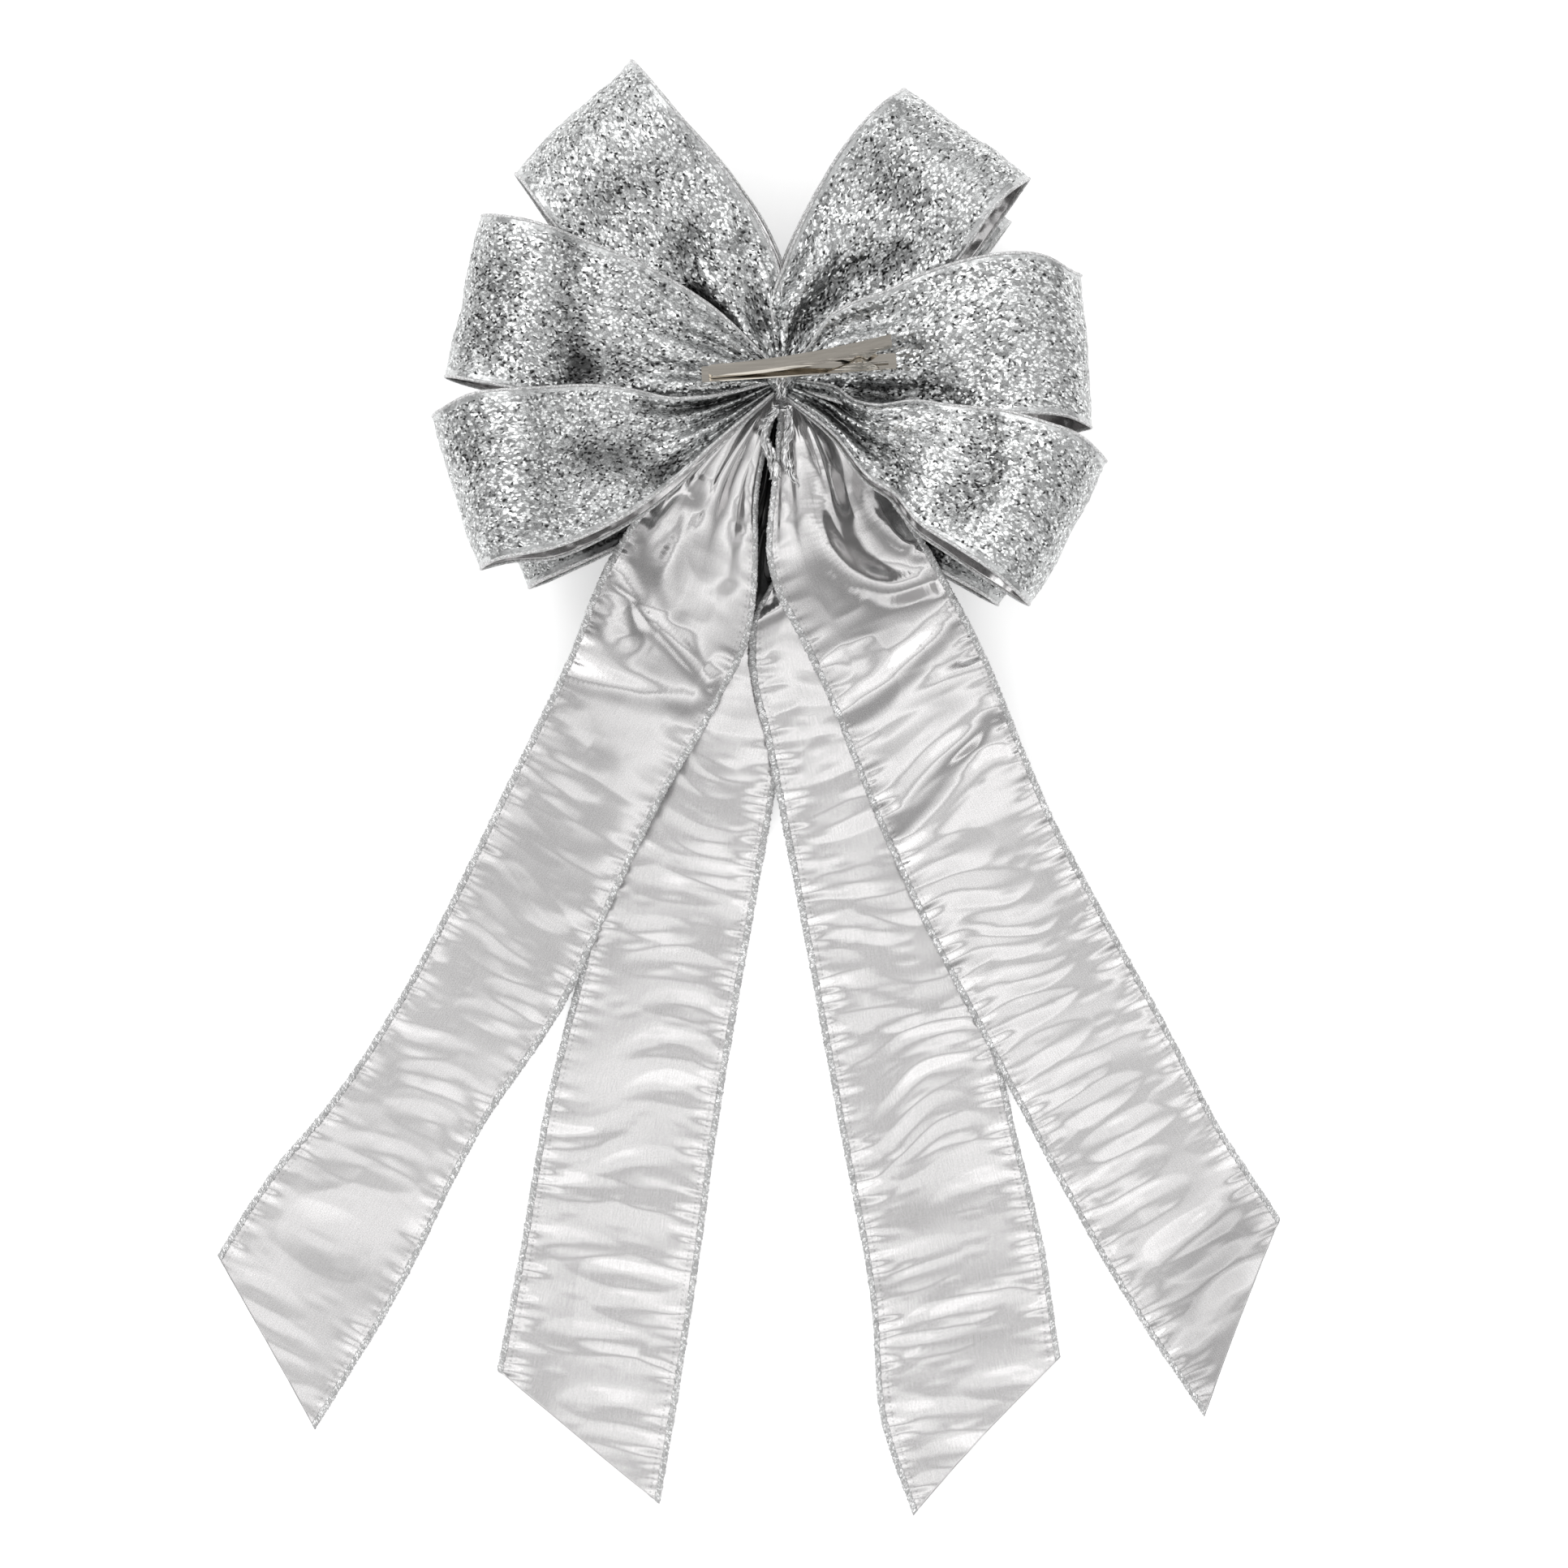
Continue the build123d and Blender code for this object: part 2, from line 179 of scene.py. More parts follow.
def fold_lines(u, v, lines):
    """Sum of folds along given lines, each (width, height, [(u, v), ...]), in mm."""
    total = np.zeros(np.broadcast(u, v).shape)
    for width, height, corners in lines:
        _, line = smooth_path(corners, 2.0)
        away = np.full(total.shape, 1e9)
        for x, y in line:
            away = np.minimum(away, (u - x) ** 2 + (v - y) ** 2)
        total += height * np.exp(-away / width**2)
    return total


def to_world(azimuth, u, v, z):
    """Points given outwards along an azimuth from the waist, to its left, and up, in mm."""
    a = math.radians(azimuth)
    x = KNOT_MM[0] + u * math.cos(a) - v * math.sin(a)
    y = KNOT_MM[1] + u * math.sin(a) + v * math.cos(a)
    return np.stack([x, y, z + 0 * x], -1)


def new_object(name, vertices, faces, materials, uv, grain=None, painted_shade=None):
    """A smooth mesh from points in mm. uv and grain give each point's place on the cloth."""
    mesh = bpy.data.meshes.new(name)
    mesh.from_pydata([tuple(p) for p in vertices * MM], [], [tuple(f) for f in faces])
    for material in materials:
        mesh.materials.append(material)
    corners = np.zeros(len(mesh.loops), np.int32)
    mesh.loops.foreach_get("vertex_index", corners)
    for layer_name, layout in (("cloth", uv), ("grain", uv if grain is None else grain)):
        layer = mesh.uv_layers.new(name=layer_name)
        layer.data.foreach_set("uv", (np.asarray(layout, float)[corners] * MM).ravel())
    # painted shade for each point: darker in folds, beside the waist and under other pieces
    if painted_shade is not None:
        attribute = mesh.attributes.new("painted_shade", "FLOAT", "POINT")
        attribute.data.foreach_set("value", np.asarray(painted_shade, np.float32).ravel())
    mesh.polygons.foreach_set("use_smooth", np.ones(len(mesh.polygons), bool))
    mesh.update()
    piece = bpy.data.objects.new(name, mesh)
    bpy.context.scene.collection.objects.link(piece)
    return piece


def grid_faces(rows, columns, closed=False):
    """Quads between the points of a grid; a closed one joins its last column to its first."""
    i = np.arange(rows - 1)[:, None] * columns
    j = np.arange(columns if closed else columns - 1)[None, :]
    k = (j + 1) % columns
    return np.stack([i + j, i + columns + j, i + columns + k, i + k], -1).reshape(-1, 4)


def tube_faces(rows, sides, capped=True):
    """Quads round a tube, with a cap at each end."""
    faces = [tuple(f) for f in grid_faces(rows, sides, closed=True)]
    if capped:
        faces += [tuple(range(sides)), tuple(range((rows - 1) * sides, rows * sides))[::-1]]
    return faces


def surface_normals(grid):
    """Unit normals of a sheet given as a grid of points."""
    along, across = np.gradient(grid, axis=0), np.gradient(grid, axis=1)
    normal = np.cross(across, along)
    return normal / np.maximum(np.linalg.norm(normal, axis=-1, keepdims=True), 1e-9)


# ---- materials ----------------------------------------------------------------------------
class Nodes:
    """A node tree, written top down."""

    def __init__(self, tree):
        self.tree = tree
        tree.nodes.clear()

    def add(self, kind, **settings):
        node = self.tree.nodes.new(kind)
        for key, value in settings.items():
            setattr(node, key, value)
        return node

    def link(self, source, target):
        self.tree.links.new(source, target)

    def feed(self, socket, value):
        """Sets a plain value on a socket, or links another node's output to it."""
        if isinstance(value, (int, float, tuple)):
            socket.default_value = value
        elif value is not None:
            self.link(value, socket)

    def math(self, operation, a, b=None, c=None, clamp=False):
        node = self.add("ShaderNodeMath", operation=operation, use_clamp=clamp)
        for socket, value in zip(node.inputs, (a, b, c)):
            self.feed(socket, value)
        return node.outputs[0]

    def vector(self, operation, a, b=None, scale=None):
        node = self.add("ShaderNodeVectorMath", operation=operation)
        for socket, value in zip(node.inputs, (a, b)):
            self.feed(socket, value)
        if scale is not None:
            self.feed(node.inputs["Scale"], scale)
        return node.outputs["Vector"]

    def ramp(self, value, stops):
        node = self.add("ShaderNodeValToRGB")
        elements = node.color_ramp.elements
        while len(elements) < len(stops):
            elements.new(0.5)
        for element, (position, grey) in zip(elements, stops):
            element.position = position
            element.color = (grey, grey, grey, 1)
        self.link(value, node.inputs[0])
        return node.outputs[0]

    def separate(self, vector):
        node = self.add("ShaderNodeSeparateXYZ")
        self.link(vector, node.inputs[0])
        return node.outputs


class MaterialNodes(Nodes):
    """A material: one principled shader and the nodes that feed it."""

    def __init__(self, name):
        self.material = bpy.data.materials.new(name)
        self.material.use_nodes = True
        super().__init__(self.material.node_tree)
        self.shader = self.add("ShaderNodeBsdfPrincipled")
        self.link(self.shader.outputs[0], self.add("ShaderNodeOutputMaterial").inputs[0])

    def set(self, **values):
        """Sets or feeds the shader's sockets, named with _ for each space."""
        for key, value in values.items():
            self.feed(self.shader.inputs[key.replace("_", " ")], value)

    def voronoi(self, where, scale, feature="F1", randomness=1.0):
        node = self.add("ShaderNodeTexVoronoi", voronoi_dimensions="2D", feature=feature)
        node.inputs["Scale"].default_value = scale
        node.inputs["Randomness"].default_value = randomness
        self.link(where, node.inputs["Vector"])
        return node

    def noise(self, where, scale, detail):
        node = self.add("ShaderNodeTexNoise")
        node.inputs["Scale"].default_value = scale
        node.inputs["Detail"].default_value = detail
        self.link(where, node.inputs["Vector"])
        return node

    def mapping(self, where, angle, scale, place=(0, 0, 0)):
        node = self.add("ShaderNodeMapping")
        node.inputs["Location"].default_value = place
        node.inputs["Rotation"].default_value = (0, 0, angle)
        node.inputs["Scale"].default_value = scale
        self.link(where, node.inputs["Vector"])
        return node.outputs[0]

    def mix(self, factor, a, b, blend="MIX"):
        node = self.add("ShaderNodeMix", data_type="RGBA", blend_type=blend)
        for name, value in (("Factor", factor), ("A", a), ("B", b)):
            socket = [s for s in node.inputs if s.name == name and s.enabled][0]
            if name != "Factor" and isinstance(value, (int, float)):
                value = (value, value, value, 1)
            self.feed(socket, value)
        return [s for s in node.outputs if s.enabled][0]

    def bump(self, height, strength, distance):
        node = self.add("ShaderNodeBump")
        node.inputs["Strength"].default_value = strength
        node.inputs["Distance"].default_value = distance
        self.link(height, node.inputs["Height"])
        return node.outputs[0]

    def uv(self, layer="cloth"):
        return self.add("ShaderNodeUVMap", uv_map=layer).outputs[0]

    def object_place(self):
        return self.add("ShaderNodeTexCoord").outputs["Object"]

    # The per-point painted shade of the ribbons, which darkens their colour
    def painted_shade(self):
        return self.add("ShaderNodeAttribute", attribute_name="painted_shade").outputs["Fac"]

    def scatter(self, colour, amount):
        """A texture's colours as vectors about zero."""
        return self.vector("SCALE", self.vector("SUBTRACT", colour, (0.5, 0.5, 0.5)), scale=amount)

    def tilted(self, tilt):
        """The surface's normal, turned by a vector."""
        facing = self.add("ShaderNodeNewGeometry").outputs["Normal"]
        return self.vector("NORMALIZE", self.vector("ADD", facing, tilt))

    def edge_distance(self, across):
        """Metres from the nearer long edge of the ribbon."""
        off = self.math("SUBTRACT", across, RIBBON_WIDTH * MM / 2)
        return self.math("SUBTRACT", RIBBON_WIDTH * MM / 2, self.math("ABSOLUTE", off))


# Two overlaid layers of foil flecks: turn, stretch, shift and number in a metre.
FLECKS = ((0.5, 1.45, 0.0, 620), (-0.9, 1.35, 0.37, 580))
FLECK_TILT, FLECK_WOBBLE = 0.62, 0.0016
TURNED_EDGE = 0.0024  # smoother band along both edges


def glitter_material(name):
    """Crushed foil: soft-edged rice-grain flecks, each with its own tilt and brightness, on
    mid-grey cloth, a few black gaps, and a smoother turned hem along both edges."""
    n = MaterialNodes(name)
    where = n.uv("grain")
    wobble = n.noise(where, 420, 1).outputs["Color"]
    warped = n.vector("ADD", where, n.scatter(wobble, FLECK_WOBBLE))
    first, second = [
        n.voronoi(n.mapping(warped, angle, (1, stretch, 1), (shift, shift, 0)), number).outputs
        for angle, stretch, shift, number in FLECKS]
    pick = n.math("GREATER_THAN", second["Distance"], first["Distance"])
    fleck = n.mix(pick, second["Color"], first["Color"])
    near = n.math("MINIMUM", first["Distance"], second["Distance"])
    hem = n.math("LESS_THAN", n.edge_distance(n.separate(n.uv())[1]), TURNED_EDGE)
    flat = n.math("SUBTRACT", 1.0, n.math("MULTIPLY", hem, 0.7))
    tilt = n.scatter(fleck, n.math("MULTIPLY", flat, FLECK_TILT))
    channel = n.add("ShaderNodeSeparateColor")
    n.link(fleck, channel.inputs[0])
    painted_shade = n.painted_shade()
    blotch = n.ramp(n.noise(where, 45, 3).outputs["Fac"], ((0.45, 0.0), (0.68, 1.0)))
    # Painted shade: more black flecks where the painted shade attribute is high, added to random
    # blotches of the foil
    painted_shade_and_blotch = n.math("ADD", painted_shade, n.math("MULTIPLY", blotch, 0.30), clamp=True)
    level = n.math("SUBTRACT", channel.outputs[1], n.math("MULTIPLY", painted_shade_and_blotch, 0.22))
    own = n.ramp(level, (
        (0.0, 0.04), (0.04, 0.13), (0.085, 0.40), (0.40, 0.52), (0.58, 0.74), (0.72, 1.0)))
    own = n.mix(n.ramp(near, ((0.28, 0.0), (0.44, 0.75))), own, 0.43)
    fuzz = n.ramp(n.noise(where, 1700, 2).outputs["Fac"], ((0.34, 0.62), (0.62, 1.0)))
    own = n.mix(1.0, own, fuzz, "MULTIPLY")
    own = n.mix(n.math("MULTIPLY", hem, 0.72), own, 0.53)
    # Painted shade: the colour darkened further where the painted shade attribute is high
    painted_darkening = n.math("SUBTRACT", 1.0, n.math("MULTIPLY", n.math("POWER", painted_shade, 2.5), 0.86))
    own = n.mix(1.0, own, painted_darkening, "MULTIPLY")
    cool = n.mix(1.0, own, (0.985, 1.0, 1.0, 1), "MULTIPLY")
    n.set(Base_Color=cool, Metallic=0.9, Roughness=0.24, Normal=n.tilted(tilt))
    return n.material


THREAD_PITCH = 0.00062
STITCH_PITCH, STITCH_INSET, STITCH_HALF_WIDTH = 0.0019, 0.0030, 0.0004


def lame_material(name, tone, tint):
    """Smooth woven lame: fine over-and-under threads, soft metallic sheen, a stitched row
    beside each edge."""
    n = MaterialNodes(name)
    where = n.uv()
    along, across, _ = n.separate(where)
    waves = [n.math("SINE", n.math("MULTIPLY", axis, 2 * math.pi / THREAD_PITCH))
             for axis in (along, across)]
    weave = n.math("MULTIPLY", *waves)
    thread = n.noise(n.mapping(where, 0, (160, 2400, 1)), 1.0, 2).outputs["Fac"]
    speckle = n.noise(where, 2100, 1).outputs["Fac"]
    cloudy = n.noise(where, 30, 3).outputs["Fac"]
    shade = n.math("ADD", n.math("MULTIPLY", weave, 0.045), tone)
    for texture, amount in ((thread, 0.16), (speckle, 0.34), (cloudy, 0.10)):
        shade = n.math("ADD", shade, n.math("MULTIPLY", n.math("SUBTRACT", texture, 0.5), amount))
    stitch = n.math("GREATER_THAN", n.math(
        "SINE", n.math("MULTIPLY", along, 2 * math.pi / STITCH_PITCH)), 0.2)
    row = n.math("COMPARE", n.edge_distance(across), STITCH_INSET, STITCH_HALF_WIDTH)
    # The stitched row is darker thread; the painted shade attribute is painted shade in folds and
    # under other pieces
    for dark, amount in ((n.math("MULTIPLY", stitch, row), 0.14), (n.painted_shade(), 0.93)):
        shade = n.math("MULTIPLY", shade, n.math("SUBTRACT", 1.0, n.math("MULTIPLY", dark, amount)))
    colour = n.add("ShaderNodeCombineColor")
    for k, factor in enumerate(tint):
        n.link(n.math("MULTIPLY", shade, factor), colour.inputs[k])
    height = n.math("ADD", n.math("MULTIPLY", weave, 0.5), n.math("MULTIPLY", speckle, 1.2))
    rough = n.math("ADD", n.math("MULTIPLY", cloudy, 0.12), 0.09)
    n.set(Base_Color=colour.outputs[0], Normal=n.bump(height, 0.1, 0.00008), Roughness=rough,
          Metallic=0.86, Sheen_Weight=0.06, Sheen_Roughness=0.4)
    return n.material


def stitched_material(name, pitch, tone, contrast):
    """Metallic thread looped over a wired edge: a chain of small lumps with dark gaps."""
    n = MaterialNodes(name)
    where = n.uv()
    jitter = n.noise(where, 900, 1).outputs["Color"]
    loops = n.vector("ADD", n.mapping(where, 0.25, (1, 0.75, 1)), n.scatter(jitter, 0.3 * pitch))
    gap = n.ramp(n.voronoi(loops, 1 / pitch, "DISTANCE_TO_EDGE", 0.75).outputs["Distance"],
                 ((0.0, 0.0), (0.16, 1.0)))
    own = n.add("ShaderNodeSeparateColor")
    n.link(n.voronoi(loops, 1 / pitch, "F1", 0.75).outputs["Color"], own.inputs[0])
    fuzz = n.noise(where, 2600, 2).outputs["Fac"]
    grey = n.math("ADD", n.math("MULTIPLY", own.outputs[0], 0.5), n.math("MULTIPLY", fuzz, 0.5))
    thread = n.ramp(grey, ((0.3, 0.72 * tone), (0.5, tone), (0.68, min(1.0, 1.4 * tone))))
    n.set(Base_Color=n.mix(gap, tone * (1 - contrast), thread), Normal=n.bump(gap, 0.5, 0.0003),
          Metallic=0.6, Roughness=0.42)
    return n.material


def metal_material(name, colour, roughness, brushed):
    """Plated metal: almost mirror smooth, faint rolling lines, a few dulled patches."""
    n = MaterialNodes(name)
    where = n.object_place()
    lines = n.noise(n.mapping(where, 0.07, (14, 420, 420)), 1.0, 2).outputs["Fac"]
    patches = n.noise(where, 60, 3).outputs["Fac"]
    worn = n.mix(patches, tuple(0.86 * c for c in colour) + (1,), tuple(colour) + (1,))
    rough = n.math("ADD", n.math("MULTIPLY", patches, 0.10), roughness)
    n.set(Base_Color=worn, Roughness=rough, Normal=n.bump(lines, brushed, 0.0003), Metallic=1.0)
    return n.material


def foil_cord_material(name):
    """Twisted foil: bright and dark streaks along each strand."""
    n = MaterialNodes(name)
    streak = n.noise(n.mapping(n.uv(), 0, (300, 2600, 1)), 1.0, 3).outputs
    shade = n.ramp(streak["Fac"], ((0.3, 0.30), (0.5, 0.72), (0.62, 1.0)))
    n.set(Base_Color=shade, Normal=n.tilted(n.scatter(streak["Color"], 1.3)),
          Metallic=0.85, Roughness=0.25)
    return n.material


def glue_material(name):
    """Set hot glue: cream, lumpy and slightly clear."""
    n = MaterialNodes(name)
    lumps = n.noise(n.object_place(), 260, 3).outputs["Fac"]
    cream = n.mix(lumps, (0.72, 0.68, 0.58, 1), (0.90, 0.88, 0.82, 1))
    n.set(Base_Color=cream, Normal=n.bump(lumps, 0.6, 0.0006),
          Roughness=0.32, Transmission_Weight=0.35, IOR=1.48)
    return n.material


GLITTER = glitter_material("crushed_foil")
LAME = lame_material("lame_wrong_side", 0.70, (1.0, 0.985, 0.985))
HEM = stitched_material("rolled_hem", 0.00065, 0.70, 0.35)
MERROW = stitched_material("merrowed_edge", 0.0008, 0.70, 0.48)
NICKEL = metal_material("polished_nickel", (0.60, 0.56, 0.50), 0.05, 0.5)
SPRING = metal_material("spring_wire", (0.42, 0.40, 0.37), 0.16, 0.4)
FOIL = foil_cord_material("foil_cord")
GLUE = glue_material("hot_glue")


# ---- ribbon pieces ------------------------------------------------------------------------
HEM_WIDTH, HEM_HEIGHT = 1.3, 1.1
HEM_STEP, HEM_SIDES, STITCH_ROUND = 0.42, 12, 6.0
MERROW_WIDTH = 3.0
ACROSS = 65  # points across a ribbon
CLOTH = 0.3  # thickness
GRAIN_MIDDLE = 200  # where the ribbon's middle lies in the grain layout


def hem_tube(edge, inner, normal, width, ridge, pitch, along):
    """Vertices, faces and uv of a sewn edge that follows the ribbon's edge line."""
    out = edge - inner
    out -= normal * np.sum(out * normal, 1, keepdims=True)
    out /= np.maximum(np.linalg.norm(out, axis=1, keepdims=True), 1e-9)
    theta = np.linspace(0, 2 * np.pi, HEM_SIDES, endpoint=False)
    turn = np.minimum(theta, 2 * np.pi - theta)[None, :]
    swell = 1 + ridge * (np.sin(2 * np.pi * along[:, None] / pitch) * np.cos(2 * turn)
                         + 2.0 * noise(along[:, None] / (0.6 * pitch), turn * 1.6, 17))
    ring = (
        edge[:, None, :]
        + out[:, None, :] * (np.cos(theta)[None, :, None] * width / 2 * swell[..., None])
        + normal[:, None, :] * (np.sin(theta)[None, :, None] * HEM_HEIGHT / 2 * swell[..., None])
    )
    rows = len(edge)
    uv = np.stack([np.repeat(along, HEM_SIDES),
                   np.tile(theta / (2 * np.pi) * STITCH_ROUND, rows)], 1)
    return ring.reshape(-1, 3), tube_faces(rows, HEM_SIDES), uv


def resample(line, count):
    """The same line with another number of points."""
    t = np.linspace(0, 1, len(line))
    fine = np.linspace(0, 1, count)
    return np.stack([np.interp(fine, t, line[:, k]) for k in range(3)], 1)


def add_hems(name, grid, normals, along, material, ridge, pitch, width):
    """Both sewn edges of a ribbon, as one piece."""
    vertices, faces, uvs, count = [], [], [], 0
    rows = int(along[-1] / HEM_STEP)
    run = np.linspace(0, along[-1], rows)
    for edge_index, inner_index in ((0, 2), (-1, -3)):
        edge, inner = resample(grid[:, edge_index], rows), resample(grid[:, inner_index], rows)
        normal = resample(normals[:, edge_index], rows)
        normal /= np.linalg.norm(normal, axis=1, keepdims=True)
        points, tube, uv = hem_tube(edge, inner, normal, width, ridge, pitch, run)
        vertices.append(points)
        faces += [tuple(i + count for i in face) for face in tube]
        uvs.append(uv)
        count += len(points)
    return new_object(name, np.concatenate(vertices), faces, [material], np.concatenate(uvs))


def finish_ribbon(name, grid, along, materials, hem_material, ridge, pitch, hem_width,
                  painted_shade=None):
    """A ribbon's cloth and hems from a grid of points, with their places in the frame. along
    is the distance along the ribbon, for each row or for each point."""
    rows, columns = grid.shape[:2]
    normals = surface_normals(grid)
    across = np.linspace(0, RIBBON_WIDTH, columns)
    distance = along if along.ndim == 2 else np.repeat(along[:, None], columns, 1)
    uv = np.stack([distance, np.repeat(across[None, :], rows, 0)], -1).reshape(-1, 2)
    step = np.linalg.norm(np.diff(grid, axis=1), axis=2)
    real = np.concatenate([np.zeros((rows, 1)), np.cumsum(step, 1)], 1)
    real += GRAIN_MIDDLE - real[:, columns // 2, None]
    grain = np.stack([distance, real], -1).reshape(-1, 2)
    cloth = new_object(
        name + "_cloth", grid.reshape(-1, 3), grid_faces(rows, columns), materials, uv, grain,
        0 * distance if painted_shade is None else painted_shade)
    thick = cloth.modifiers.new("thickness", "SOLIDIFY")
    thick.thickness = CLOTH * MM
    thick.offset = 0.0
    thick.material_offset = 1
    thick.use_quality_normals = True
    run = along if along.ndim == 1 else along.max(1)
    hems = add_hems(name + "_hems", grid, normals, run, hem_material, ridge, pitch, hem_width)
    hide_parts(name)
    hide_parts(name + "_wires")
    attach(cloth, BOW)
    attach(hems, BOW)


def pleats(v, seed, count):
    """Gathered folds across a ribbon: uneven, with steep sides."""
    rng = np.random.RandomState(seed)
    phase = count * np.pi * v + 0.9 * noise(v * 2.3, 0 * v, seed + 5) + rng.uniform(0, 6)
    wave = np.sin(phase)
    return np.sign(wave) * np.abs(wave) ** 0.8


# ---- loops --------------------------------------------------------------------------------
LOOP_STEP, LOOP_GAP = 0.9, 3.0
LOWEST = FLOOR + HEM_HEIGHT / 2 + 0.1  # of the cloth's middle, clear of the floor


def loop_side(reach, root, crown, half):
    """Side view of a loop, from the waist out along the rear strand and back along the front
    one: distance from the waist and height. half is half the loop's thickness at its end."""
    def mid(u):
        return root + (crown - root) * u / reach

    rear = [(5.0, root + LOOP_GAP), (24, mid(24) + 5.2), (48, mid(48) + 9.0)]
    rear += [(reach - 44, crown + half * 0.72), (reach - 22, crown + half * 0.93)]
    rear += [(reach - 7, crown + half * 0.66), (reach, crown)]
    front = [(u, 2 * mid(u) - z) for u, z in rear[-2::-1]]
    return smooth_path(rear + front, LOOP_STEP)


def loop(name, azimuth, reach, root, crown, half, rear, front, seed, skew=0.0, lines=(), shade=0.0):
    """One ribbon loop. rear and front give each strand's (left, right) edges as points
    (distance from the waist, offset to the left of the loop's azimuth); lines are the folds
    that stay in the rear strand; shade is painted shade on the part that the loop above covers."""
    along, line = loop_side(reach, root, crown, half)
    u, z = line[:, 0], line[:, 1]
    tangent = np.gradient(line, axis=0)
    tangent /= np.linalg.norm(tangent, axis=1, keepdims=True)
    out_u, out_z = -tangent[:, 1], tangent[:, 0]

    is_front = np.arange(len(u)) > np.argmax(u)
    edges = [[smooth_curve(*zip(*points)) for points in strand] for strand in (rear, front)]
    above = 1 / (1 + np.exp(-(z - crown) / 3.0))
    blend = np.where(u < reach - 25, np.where(is_front, 0.0, 1.0), above)
    left = edges[0][0](u) * blend + edges[1][0](u) * (1 - blend)
    right = edges[0][1](u) * blend + edges[1][1](u) * (1 - blend)

    v = np.linspace(-1, 1, ACROSS)[None, :]
    u, z, run = u[:, None], z[:, None], along[:, None]
    lateral = right[:, None] + (left - right)[:, None] * (v + 1) / 2
    outwards = u + skew * lateral * (u / reach) ** 3
    near = np.exp(-((u / 26.0) ** 2))  # beside the waist
    middle = np.exp(-(((u - 36) / 18.0) ** 2))
    gathers = pleats(v, seed, 3.0) * (1.0 * near + 1.6 * middle)
    soft = noise(run / 30.0, v * 1.2 + 0 * run, seed, 2)
    small = noise(run / 9.0, v * 4.0 + 0 * run, seed + 3)
    grit = noise(run / 2.4, v * 13.0, seed + 6)
    slack = np.clip((u - 12) / 50, 0, 1)  # 0 where the waist pulls it tight
    placed = fold_lines(u, lateral, lines) * blend[:, None]
    puff = gathers + slack * (1.7 * soft + 0.22 * small - 0.8 * v**2) + 0.2 * grit + 1.3 * placed

    # Painted shade: darker in folds and gathers, beside the waist, in soft hollows and, as much as
    # shade says, where the loop above covers this one
    painted_shade = np.clip(-placed / 3 - 0.25 * gathers, 0, 1) * 0.8 + 0.35 * near
    covered = above[:, None] * (0.45 + 0.55 * np.clip((reach - u) / 30, 0, 1))
    painted_shade = np.clip(painted_shade + 0.35 * np.clip(-soft, 0, 1) * slack + shade * covered, 0, 1)

    points = to_world(
        azimuth, outwards + out_u[:, None] * puff, lateral, z + out_z[:, None] * puff)
    points[..., 2] = np.maximum(points[..., 2], LOWEST)
    finish_ribbon(name, points, along, [GLITTER, LAME], HEM, 0.05, 1.5, HEM_WIDTH,
                  painted_shade=painted_shade)


PLAIN_EDGE = [(5, 4), (18, 12), (32, 20), (52, 27), (80, 31), (105, 31), (140, 31)]

